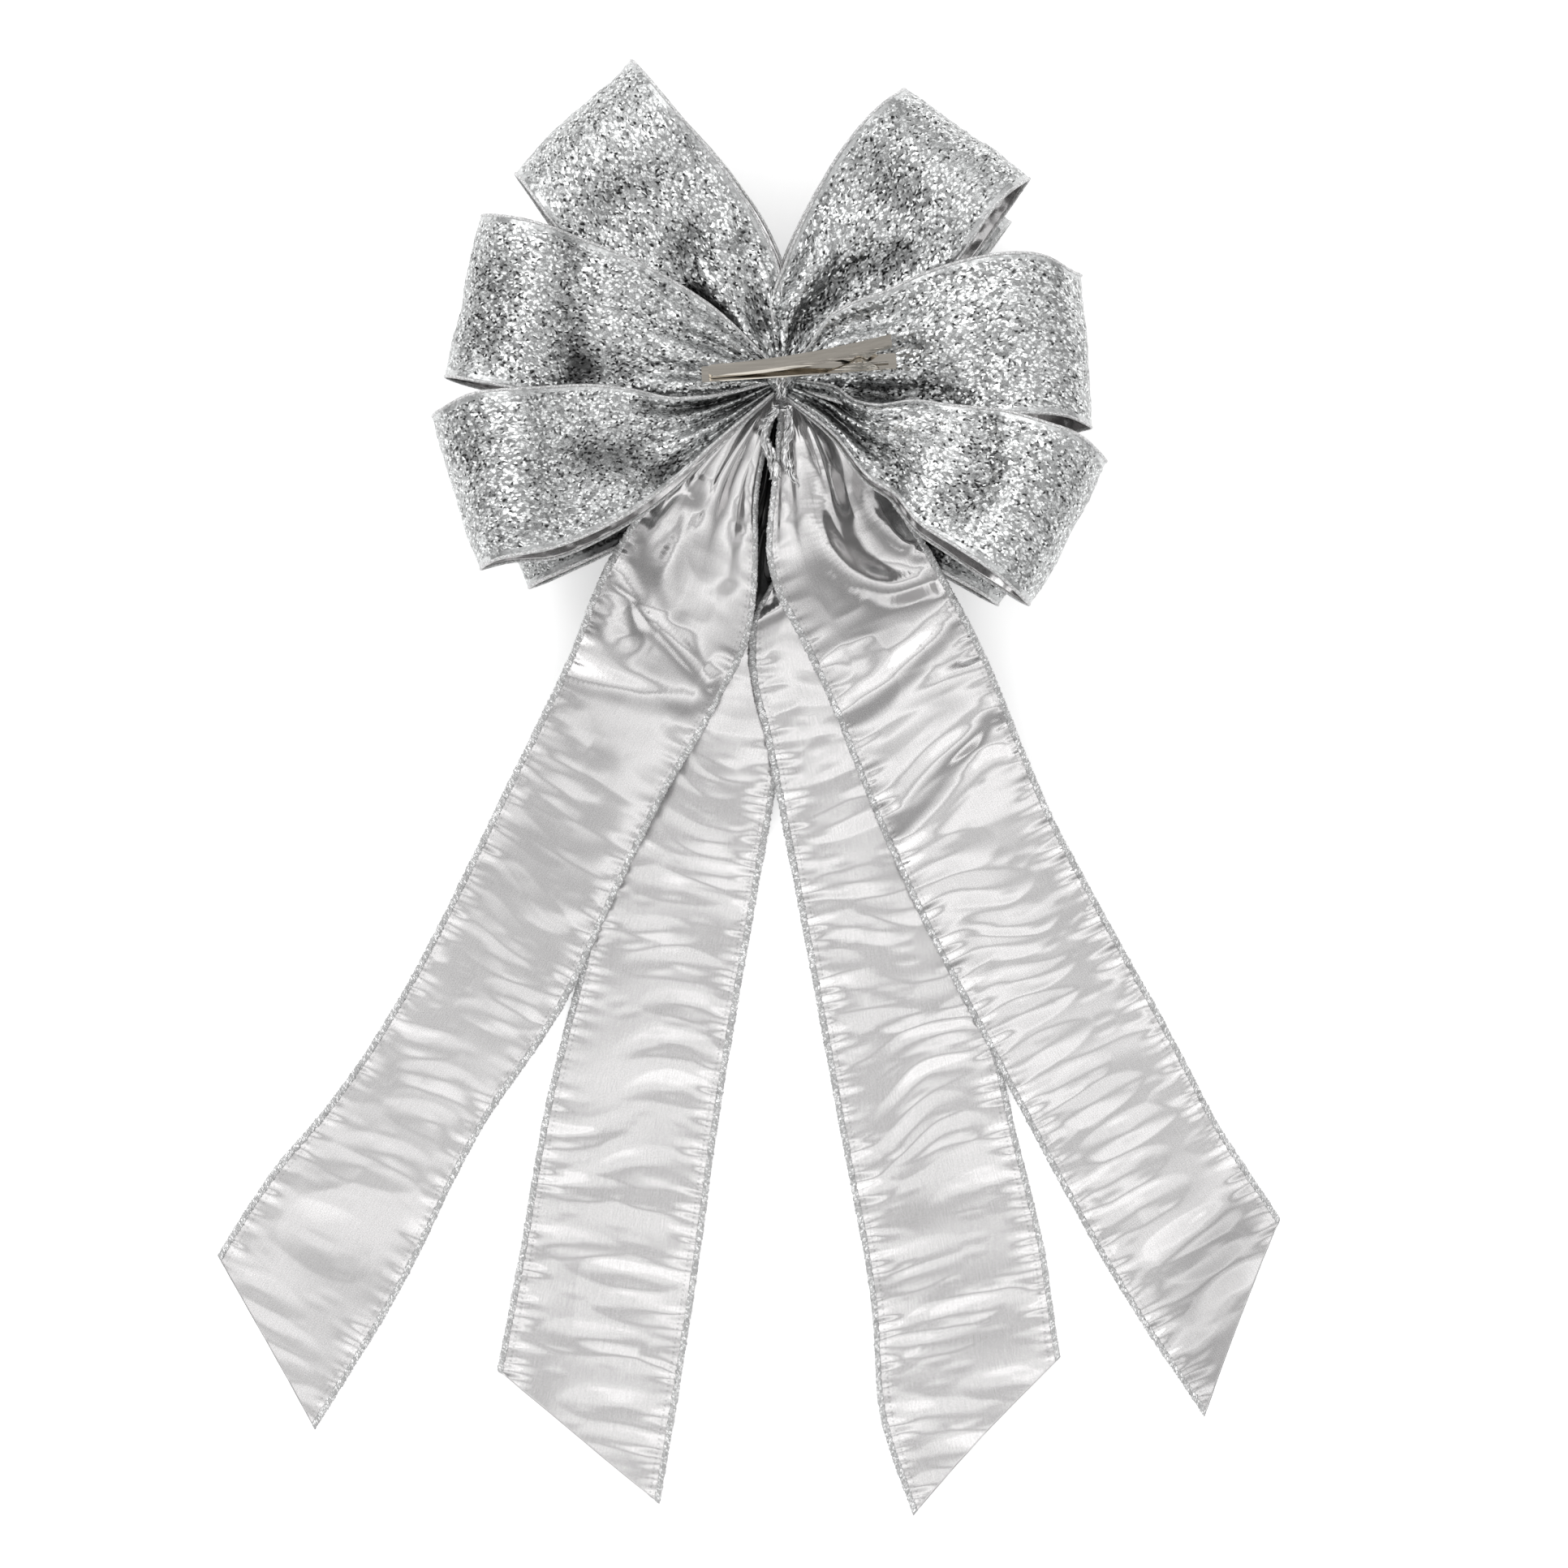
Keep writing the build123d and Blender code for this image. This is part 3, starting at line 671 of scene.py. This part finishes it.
# wider is how far the front strand reaches past the rear one at its left and right edges.
REAR = {
    "loop_upper_left": dict(
        azimuth=128.3, reach=127.5, root=69, crown=64, seed=11, skew=-0.09, wider=(0, 2.5),
        left=[(5, 4), (30, 18), (60, 28), (97, 32), (122, 31), (140, 31)],
        right=[(5, -4), (18, -15), (32, -24), (45, -28), (73, -31), (105, -30), (128, -30),
               (140, -30)],
        lines=[(8, -3.2, [(62, -4), (48, 3), (30, 2)]), (5, -3.0, [(46, -19), (34, -15), (20, -7)]),
               (7, 2.0, [(52, -12), (38, -6), (24, -3)]), (9, -1.6, [(90, 12), (84, -10)])]),
    "loop_left": dict(
        azimuth=164.8, reach=125, root=72, crown=72, seed=12, skew=-0.06, wider=(0, 0),
        left=[(5, 5), (30, 17), (60, 27), (101, 32), (122, 33), (140, 33)],
        right=[(5, -4), (31, -18), (60, -26), (84, -29), (109, -30), (126, -29), (140, -29)],
        lines=[(7, -2.0, [(86, -29), (79, -2), (73, 22)]), (10, -2.4, [(66, 18), (56, 17)]),
               (11, -2.2, [(111, -4), (112, 22)])]),
    "loop_lower_left": dict(
        azimuth=199.7, reach=131, root=75, crown=80, seed=13, skew=0.07, wider=(1.5, 1),
        left=[(5, 5), (38, 18), (49, 23), (63, 28), (82, 32), (102, 33), (121, 30), (140, 31)],
        right=[(5, 1), (29, -2), (42, -6), (49, -10), (67, -19), (93, -26), (116, -31), (127, -30),
               (140, -29)],
        lines=[(9, 2.4, [(97, -22), (100, -8), (110, 18)]), (9, -2.8, [(74, 4), (62, 10), (46, 23)]),
               (7, -2.2, [(46, -6), (32, 0), (18, 3)]), (8, -1.8, [(116, -26), (121, -6)])]),
    "loop_upper_right": dict(
        azimuth=53.4, reach=117, root=69, crown=64, seed=14, skew=0.0, wider=(1.5, 3),
        left=[(5, 5), (13, 13), (18, 18), (34, 24), (55, 29), (80, 32), (99, 31), (115, 28),
              (130, 28)],
        right=[(5, -4), (30, -17), (73, -27), (103, -27), (116, -30), (130, -31)],
        lines=[(8, -3.2, [(22, 2), (44, 0), (62, -8)]), (6, 2.0, [(24, 9), (44, 12)]),
               (10, -1.6, [(84, 18), (80, 0)])]),
    "loop_right": dict(
        azimuth=5.0, reach=116, root=72, crown=72, seed=15, skew=0.0, wider=(0, 5),
        left=[(5, 5), (11, 10), (18, 19), (27, 24), (42, 28), (56, 33), (71, 36), (87, 37), (102, 35),
              (114, 29), (130, 27)],
        right=[(5, -5), (30, -15), (60, -21), (91, -23), (105, -25), (116, -29), (130, -31)],
        lines=[(9, -2.6, [(34, -9), (48, -11), (60, -18)]), (10, 1.6, [(60, 8), (84, 12)])]),
    "loop_lower_right": dict(
        azimuth=-28.6, reach=124, root=75, crown=80, seed=16, skew=0.0, wider=(1, 1.5),
        left=[(5, 1), (19, 6), (28, 5), (38, 8), (46, 14), (61, 20), (79, 27), (94, 30), (109, 32),
              (123, 30), (140, 29)],
        right=[(5, -6), (28, -10), (47, -18), (58, -19), (70, -24), (88, -26), (109, -28), (124, -31),
               (140, -31)],
        lines=[(7, -3.0, [(17, 1), (34, -5), (53, -13)]), (7, -2.4, [(74, 20), (84, 2), (80, -12)]),
               (8, 1.8, [(36, 3), (58, 0)])]),
}
for name, spec in REAR.items():
    left, right, wider = spec.pop("left"), spec.pop("right"), spec.pop("wider")
    front = [[(u, v + sign * extra * min(1.0, u / 35) * (u < 112)) for u, v in edge]
             for edge, sign, extra in ((left, 1, wider[0]), (right, -1, wider[1]))]
    loop(name, half=24, rear=(left, right), front=front, **spec)

FRONT = {
    "front_loop_lower_left": dict(azimuth=204, reach=121, root=51.8, crown=22.9, half=22, seed=21),
    "front_loop_lower_right": dict(azimuth=-30, reach=115, root=51.8, crown=22.9, half=22, seed=22),
    "front_loop_upper_left": dict(azimuth=127, reach=112, root=48.8, crown=18.9, half=18, seed=23),
    "front_loop_upper_right": dict(
        azimuth=52.5, reach=106, root=48.8, crown=18.9, half=18, seed=24),
}
plain_edges = (PLAIN_EDGE, [(u, -v) for u, v in PLAIN_EDGE])
# The front loops carry painted shade where the rear loops cover them.
for name, spec in FRONT.items():
    loop(name, rear=plain_edges, front=plain_edges, shade=0.92, **spec)


# ---- centre loop --------------------------------------------------------------------------
def centre_loop():
    """Round loop on the bow's face, narrowing upwards to where the tie passes through it."""
    low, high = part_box("centre_loop")
    top, bottom = high.z / MM - 0.4, low.z / MM + 0.8
    half_length = (high.x - low.x) / MM / 2 - 0.4
    middle, radius = (top + bottom) / 2, (top - bottom) / 2
    angle = np.linspace(np.pi / 2 + 0.02, 2.5 * np.pi - 0.02, 141)
    x, z = half_length * np.cos(angle), middle + radius * np.sin(angle)
    along = np.r_[0, np.cumsum(np.hypot(np.diff(x), np.diff(z)))]

    v = np.linspace(-1, 1, ACROSS)[None, :]
    x, z, angle, run = x[:, None], z[:, None], angle[:, None], along[:, None]
    height = (z - bottom) / (top - bottom)
    narrowing = np.clip((height - 0.35) / 0.65, 0, 1) ** 1.6
    half_width = 4.5 + (RIBBON_WIDTH / 2 - 4.5) * (1 - narrowing)
    puff = pleats(v, 31, 5.0) * (0.9 * np.clip((height - 0.4) / 0.6, 0, 1))
    puff = puff + 0.8 * noise(run / 20, v * 1.3, 32, 2)
    points = np.stack([
        KNOT_MM[0] + x + np.cos(angle) * puff, KNOT_MM[1] + half_width * v,
        z + np.sin(angle) * puff], -1)
    points[..., 2] = np.maximum(points[..., 2], LOWEST)
    finish_ribbon("centre_loop", points[:, ::-1], along, [GLITTER, LAME], HEM, 0.05, 1.5,
                  HEM_WIDTH)


centre_loop()


# ---- tails --------------------------------------------------------------------------------
TAIL_START = 5.0


def tail_wrinkles(u, flat_v, seed):
    """Heights of the small folds: two sizes of low hills with flatter cloth between,
    puckers at the sewn edges and creases across."""
    drift = 7.0 * noise(u / 60, flat_v / 38, seed + 3)
    cross = 0.12 * flat_v * noise(u / 60, 0 * u, seed + 4)
    patch = np.sqrt(troughs((u + drift + cross) / 15.0, flat_v / 52.0 + 0.5, seed + 5) + 0.003)
    fine = np.sqrt(troughs((u + drift * 0.8) / 8.0, flat_v / 22.0 + 0.3, seed + 6) + 0.01)
    hills = 1.9 * np.maximum(0.46 - patch, 0) + 0.45 * np.maximum(0.30 - fine, 0)
    edge = RIBBON_WIDTH / 2 - np.abs(flat_v)
    side = 3.0 * np.sign(flat_v)
    ripple = noise(u / 3.1, side + edge / 16, seed + 7) * np.exp(-((edge / 8.0) ** 2))
    ripple += 0.5 * noise(u / 1.6, side + edge / 8, seed + 8) * np.exp(-((edge / 4.0) ** 2))
    ridged = np.abs(noise((u + drift) / 18.0, flat_v / 50.0, seed + 10))
    return hills, ripple, ridged


def tail(name, azimuth, path, left, right, ends, seed, lines, arch, pucker=1.0, buried=0.0,
         shade=()):
    """One tail. path is its side view down to the surface; left and right are its edges, ends
    the distances at which they were cut, lines its listed folds and shade its patches of
    painted shade; buried is how far the pieces above cover it, shown as painted shade."""
    _, line = smooth_path(path + [(max(ends) + 6, path[-1][1])], 1.0)
    height = smooth_curve(line[:, 0], line[:, 1])
    v = np.linspace(-1, 1, 81)
    share = (v[None, :] + 1) / 2
    cut = ends[1] + (ends[0] - ends[1]) * share
    t = np.linspace(0, 1, int(max(ends) / 0.8) + 1)
    u = TAIL_START + (cut - TAIL_START) * t[:, None]
    left_edge, right_edge = smooth_curve(*zip(*left)), smooth_curve(*zip(*right))
    lateral = right_edge(u) * (1 - share) + left_edge(u) * share
    flat_v = v[None, :] * RIBBON_WIDTH / 2 + 0 * u

    near, middle = np.exp(-((u / 34.0) ** 2)), np.exp(-(((u - 50) / 20) ** 2))
    gathers = pleats(v, seed, 3.0)[None, :] * (0.9 * near + 1.2 * middle)
    arched = arch * (1 - v[None, :] ** 2) * np.exp(-(((u - 120) / 60) ** 2))
    waves = 0.9 * noise(u / 44, flat_v / 40, seed + 9, 1)
    hills, ripple, ridged = tail_wrinkles(u, flat_v, seed)
    crumple = np.abs(noise(u / 24, flat_v / 26, seed + 11)) + 0.4 * np.abs(
        noise(u / 11, flat_v / 15, seed + 12))

    down = np.clip((u - 95) / 60, 0, 1)  # 0 beside the waist, 1 on the lower, puckered part
    z = height(u) + gathers + arched + waves * np.clip((u - 25) / 60, 0, 1)
    z += pucker * down * (hills + 0.7 * ripple + 0.8 * ridged - 0.3)
    z += (1 - down) * (0.6 * hills + 0.5 * ripple + 2.2 * crumple) * np.clip((u - 20) / 30, 0, 1)
    z += fold_lines(u, lateral, lines)
    softest = 0.6  # the cloth eases onto the surface over this height
    z = LOWEST + np.where(
        z - LOWEST > softest, z - LOWEST, softest * np.exp((z - LOWEST) / softest - 1))

    # Painted shade: darker beside the waist and where the pieces above cover it, and on the patches
    # in shade
    painted_shade = np.clip((buried + 8 - u) / 10, 0, 1) + fold_lines(u, lateral, shade)
    finish_ribbon(
        name, to_world(azimuth, u, lateral, z), u, [LAME, GLITTER], MERROW, 0.11, 1.3,
        MERROW_WIDTH,
        painted_shade=painted_shade)


OUTER_PATH = [
    (2, 62.0), (38, 61), (62, 54), (106, 33), (140, 23), (185, 14.5), (245, 8), (300, 3.6)]
INNER_RIGHT_PATH = [(2, 59.6), (40, 50), (75, 30), (110, 18), (165, 9), (205, 5.5), (240, 3.4)]
INNER_LEFT_PATH = [(2, 57.2), (40, 42), (75, 24), (110, 12), (150, 4.5), (175, 3.2)]
# buried and shade set where each tail gets painted shade
tail("tail_inner_left", 259.0, INNER_LEFT_PATH,
     left=[(5, 2), (40, 9), (70, 12), (90, 18), (110, 25), (149, 26), (209, 27), (288, 29),
           (342, 32), (395, 34), (440, 35)],
     right=[(5, -2), (60, -20), (150, -31), (235, -33), (287, -36), (355, -35), (440, -35)],
     ends=(435, 397), seed=41, arch=3, buried=82, lines=[])
tail("tail_inner_right", -78.9, INNER_RIGHT_PATH,
     left=[(5, 2), (60, 20), (110, 30), (267, 32), (303, 33), (346, 35), (392, 33), (440, 33)],
     right=[(5, -1), (50, -9), (70, -15), (86, -27), (100, -31), (134, -31), (187, -31),
            (290, -32), (355, -33), (403, -38), (440, -33)],
     ends=(392, 440), seed=42, arch=3, buried=70, lines=[(3, 2.0, [(88, -30), (84, -16), (78, 2)])])
tail("tail_outer_left", 242.3, OUTER_PATH,
     left=[(5, 2), (29, 7), (44, 12), (58, 19), (72, 26), (88, 32), (121, 34), (162, 32),
           (202, 33), (252, 35), (310, 29), (381, 30), (443, 26)],
     right=[(5, -2), (30, -12), (60, -22), (94, -26), (132, -23), (173, -22), (333, -27),
            (360, -33), (402, -37), (440, -38)],
     # shade: painted shade on the middle of this tail
     ends=(443, 402), seed=43, arch=5, pucker=0.9, shade=[(30, 0.14, [(110, 0), (200, 2)])],
     lines=[(8, 4.0, [(20, -2), (36, -7), (50, -10)]),
            (5, 2.6, [(50, -12), (66, -6), (84, -5), (96, 4)]),
            (7, -2.4, [(34, 6), (58, 9), (76, 14)]), (6, -3.2, [(84, -24), (96, -16), (112, -8)]),
            (4, 3.0, [(92, -26), (100, -10), (106, 8), (114, 28)]),
            (9, -2.6, [(118, -20), (122, 2), (132, 24)]),
            (5, 2.2, [(138, -22), (132, 0), (124, 26)]), (14, -2.0, [(160, 2), (176, 8)])])
tail("tail_outer_right", -63.5, OUTER_PATH,
     left=[(5, 3), (40, 14), (75, 20), (99, 22), (129, 23), (159, 21), (193, 19), (232, 20),
           (294, 23), (334, 24), (377, 29), (440, 32)],
     right=[(5, -2), (28, -16), (42, -25), (56, -33), (67, -36), (93, -36), (125, -37), (147, -39),
            (208, -42), (265, -41), (313, -40), (373, -37), (431, -30)],
     ends=(377, 431), seed=44, arch=4, pucker=1.3,
     # shade: painted shade on two facets near the top and on the lower end
     shade=[(12, 0.3, [(50, 6), (66, 14)]), (14, 0.22, [(86, -24), (100, -10)]),
            (18, 0.32, [(372, 10), (392, -12), (412, -20)])],
     lines=[(6, 4.6, [(22, 2), (42, -4), (60, -11), (76, -10), (88, 2), (92, 18)]),
            (4, 2.8, [(48, 10), (60, 8), (72, 12), (84, 20)]),
            (8, -2.8, [(50, 2), (64, 0), (76, 4)]), (6, -1.6, [(58, 20), (72, 22)]),
            (15, -3.2, [(84, -26), (98, -16), (104, 4)]),
            (5, 3.0, [(124, -36), (120, -12), (108, 20)]),
            (6, 2.4, [(166, -32), (158, -8), (148, 18)]),
            (5, -2.4, [(178, -38), (168, -12), (154, 14)]), (10, 1.6, [(132, 4), (138, 14)]),
            (6, 1.4, [(352, 26), (366, 4), (372, -20)]), (8, -1.0, [(384, 8), (394, -20)]),
            (7, 1.0, [(398, 2), (410, -24)])])


# ---- waist: gathered core, tie and its free ends --------------------------------------------
def gathered_core():
    """Pinched middles of all the ribbons, with a few wrinkles along and round it."""
    rows, sides = 60, 180
    low, high = core_low.z / MM, core_high.z / MM
    radius = (core_high.x - core_low.x) / MM / 2 - 0.6
    t = np.linspace(0, 1, rows)[:, None]
    theta = np.linspace(0, 2 * np.pi, sides, endpoint=False)[None, :]
    r = radius * (1 - 0.25 * (2 * t - 1) ** 8) + 0.5 * noise(theta * 5, t * 9, 61, 2)
    r += 0.35 * np.sin(26 * np.pi * t + 0.8 * np.sin(3 * theta))
    points = np.stack([KNOT_MM[0] + r * np.cos(theta), KNOT_MM[1] + r * np.sin(theta),
                       low + (high - low) * t + 0 * theta], -1)
    uv = np.stack([(theta * 7 + 0 * t).ravel(), (t * 38 + 0 * theta).ravel()], 1)
    piece = new_object(
        "gathered_core_cloth", points.reshape(-1, 3), tube_faces(rows, sides), [GLITTER], uv)
    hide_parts("gathered_core")
    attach(piece, BOW)


gathered_core()


STRAND_SIDES = 8


def twisted_frame(line, closed):
    """Unit tangents, normals and binormals along a line, without needless twist."""
    tangent = np.gradient(line, axis=0)
    if closed:
        tangent[0] = tangent[-1] = line[1] - line[-2]
    tangent /= np.linalg.norm(tangent, axis=1, keepdims=True)
    normal = np.zeros_like(line)
    normal[0] = np.cross(tangent[0], (0.3, 0.2, 0.9))
    normal[0] /= np.linalg.norm(normal[0])
    for i in range(1, len(line)):
        carried = normal[i - 1] - tangent[i] * np.dot(normal[i - 1], tangent[i])
        normal[i] = carried / np.linalg.norm(carried)
    return tangent, normal, np.cross(tangent, normal)


def strand_bundle(name, line, closed, strands, radius, twist, seed, crushed=0.0):
    """Foil strands twisted round a centre line given in mm; crushed ones spread flat and
    their tips part over that length."""
    tangent, normal, binormal = twisted_frame(line, closed)
    along = np.r_[0, np.cumsum(np.linalg.norm(np.diff(line, axis=0), axis=1))]
    rng = np.random.RandomState(seed)
    spread, thin, width = (0.82, 0.55, 0.70) if crushed else (0.66, 1.0, 0.56)
    rows = len(line)
    theta = np.linspace(0, 2 * np.pi, STRAND_SIDES, endpoint=False)
    vertices, faces, uvs, count = [], [], [], 0

    def wander(length, offset):
        return noise(along / length, 0 * along, seed + offset + strand)

    for strand in range(strands):
        angle = 2 * np.pi * (along / twist + strand / strands) + 0.5 * wander(4, 0)
        lift = radius * (spread + 0.3 * wander(3.4, 20))
        if crushed:
            loose = np.clip((along - along[-1] + crushed) / crushed, 0, 1)
            lift = lift * (1 + 0.35 * loose * rng.uniform(-0.6, 1.0))
        centre = (line + normal * (np.cos(angle) * lift)[:, None]
                  + binormal * (np.sin(angle) * lift * thin)[:, None])
        wide = radius * (width + 0.2 * wander(1.9, 40))
        flat = 0.36 + 0.16 * wander(1.6, 60)
        spin = angle + 1.2 + 1.9 * wander(2.8, 80)
        ex = normal * np.cos(spin)[:, None] + binormal * np.sin(spin)[:, None]
        ey = np.cross(tangent, ex)
        ring = (centre[:, None] + ex[:, None] * (np.cos(theta)[None, :, None] * wide[:, None, None])
                + ey[:, None] * (np.sin(theta)[None, :, None] * (wide * flat)[:, None, None]))
        vertices.append(ring.reshape(-1, 3))
        faces += [tuple(int(i) + count for i in face)
                  for face in tube_faces(rows, STRAND_SIDES, capped=not closed)]
        uvs.append(np.stack([np.repeat(along, STRAND_SIDES),
                             np.tile(theta * 0.6 + strand, rows)], 1))
        count += rows * STRAND_SIDES
    return new_object(name, np.concatenate(vertices), faces, [FOIL], np.concatenate(uvs))


TURN_RADIUS, TURN_CORNER, TURN_OFFSET = 1.0, 3.0, 1.02


def tie_wrap():
    """Two turns of the tie round the waist, as rounded oblongs side by side."""
    low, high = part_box("tie_wrap")
    corner = TURN_CORNER
    out = (high.y - low.y) / MM / 2 - TURN_RADIUS - corner
    bottom, top = low.z / MM + TURN_RADIUS + corner, high.z / MM - TURN_RADIUS - corner
    outline = []
    for cy, cz, first in ((out, top, 0), (-out, top, 90), (-out, bottom, 180), (out, bottom, 270)):
        for angle in np.radians(first + np.linspace(0, 90, 9)):
            outline.append((cy + corner * np.cos(angle), cz + corner * np.sin(angle)))
    outline.append(outline[0])
    outline = np.array(outline)
    run = np.r_[0, np.cumsum(np.linalg.norm(np.diff(outline, axis=0), axis=1))]
    even = np.linspace(0, run[-1], 300)
    y, z = np.interp(even, run, outline[:, 0]), np.interp(even, run, outline[:, 1])
    for number, shift in enumerate((-TURN_OFFSET, TURN_OFFSET)):
        x = KNOT_MM[0] + shift + 0.15 * np.sin(even / 5 + number)
        line = np.stack([x, KNOT_MM[1] + y, z], 1)
        piece = strand_bundle(
            f"tie_turn_{number + 1}", line, True, 3, TURN_RADIUS, 9.0, 70 + number)
        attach(piece, BOW)
        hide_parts("tie_wrap")


tie_wrap()

for number, (name, line) in enumerate(TIE_LINES.items()):
    piece = strand_bundle(
        name + "_strands", line, False, 5, TIE_DIAMETER / 2, 30.0, 80 + number, crushed=9.0)
    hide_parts(name)
    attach(piece, BOW)


def glue_blob():
    """A squeezed drop of hot glue between the tie's top and the clip's lower jaw."""
    low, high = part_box("glue_pad")
    middle = (low + high) / 2 / MM
    rows, sides = 40, 80
    half_x, half_y, half_z = 5.0, 2.4, 1.3
    shift_y, lift = 1.2, 1.2
    t = np.linspace(0.02, np.pi - 0.02, rows)[:, None]
    theta = np.linspace(0, 2 * np.pi, sides, endpoint=False)[None, :]
    lump = 1 + 0.13 * noise(2.0 * np.cos(theta) + 9, 2.0 * np.sin(theta) + t, 91, 2)
    x = middle[0] + half_x * np.sin(t) * np.cos(theta) * lump
    y = middle[1] + shift_y + half_y * np.sin(t) * np.sin(theta) * lump
    z = low.z / MM + lift + half_z * np.cos(t) + 0.0 * theta
    uv = np.stack([(theta * 4 + 0 * t).ravel(), (t * 4 + 0 * theta).ravel()], 1)
    points = np.stack([x, y, z], -1).reshape(-1, 3)
    piece = new_object("glue_blob", points, tube_faces(rows, sides), [GLUE], uv)
    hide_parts("glue_pad")
    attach(piece, BOW)


glue_blob()


# ---- metal nodes keep their CAD shape -----------------------------------------------------
for node, material in (
    ("clip_lower_jaw", NICKEL), ("clip_upper_jaw", NICKEL), ("clip_pivot_pin", NICKEL),
    ("clip_spring_fixed_half", SPRING), ("clip_spring_moving_half", SPRING),
):
    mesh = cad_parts[node].data
    mesh.materials.clear()
    mesh.materials.append(material)


# ---- studio: glowing pale floor, soft sky and one large lamp --------------------------------
SPAN = 6.0  # half the floor's side
floor_nodes = MaterialNodes("pale_floor")
floor_nodes.set(Base_Color=(0.93, 0.93, 0.93, 1), Roughness=0.75,
                Emission_Color=(1, 1, 1, 1), Emission_Strength=0.42)
floor_mesh = bpy.data.meshes.new("floor")
floor_mesh.from_pydata(
    [(-SPAN, -SPAN, 0), (SPAN, -SPAN, 0), (SPAN, SPAN, 0), (-SPAN, SPAN, 0)], [], [(0, 1, 2, 3)])
floor_mesh.materials.append(floor_nodes.material)
floor = bpy.data.objects.new("floor", floor_mesh)
floor.location.z = FLOOR - 0.0002
bpy.context.scene.collection.objects.link(floor)

# The sky has bands across it, from south to north and a little askew, so that the cloth's
# slopes reflect light and dark by turns.
world = bpy.data.worlds.new("studio")
world.use_nodes = True
sky = Nodes(world.node_tree)
east, north, up = sky.separate(sky.add("ShaderNodeTexCoord").outputs["Generated"])
height = sky.ramp(up, ((0.0, 0.35), (0.3, 0.50), (0.6, 0.85), (0.85, 1.0), (1.0, 1.0)))
slant = sky.math("ADD", sky.math("MULTIPLY", north, 0.5), sky.math("MULTIPLY", east, -0.12))
bands = sky.ramp(sky.math("ADD", slant, 0.5), (
    (0.05, 0.74), (0.16, 0.84), (0.24, 1.00), (0.30, 1.15), (0.375, 0.52), (0.45, 0.60),
    (0.48, 0.93), (0.52, 0.95), (0.56, 0.78), (0.61, 1.25), (0.80, 0.95)))
background = sky.add("ShaderNodeBackground")
background.inputs["Strength"].default_value = 1.22
sky.link(sky.math("MULTIPLY", height, bands), background.inputs["Color"])
sky.link(background.outputs[0], sky.add("ShaderNodeOutputWorld").inputs[0])
bpy.context.scene.world = world

LAMP_PLACE, LAMP_AIM = Vector((-1.0, 1.5, 1.6)), Vector((0.0, 0.05, 0.0))
lamp_data = bpy.data.lights.new("key", "AREA")
lamp_data.shape = "RECTANGLE"
lamp_data.size, lamp_data.size_y = 2.0, 1.4
lamp_data.energy = 11
lamp = bpy.data.objects.new("key", lamp_data)
lamp.location = LAMP_PLACE
lamp.rotation_euler = (LAMP_AIM - LAMP_PLACE).to_track_quat("-Z", "Y").to_euler()
bpy.context.scene.collection.objects.link(lamp)

bpy.context.scene.view_settings.view_transform = "Standard"
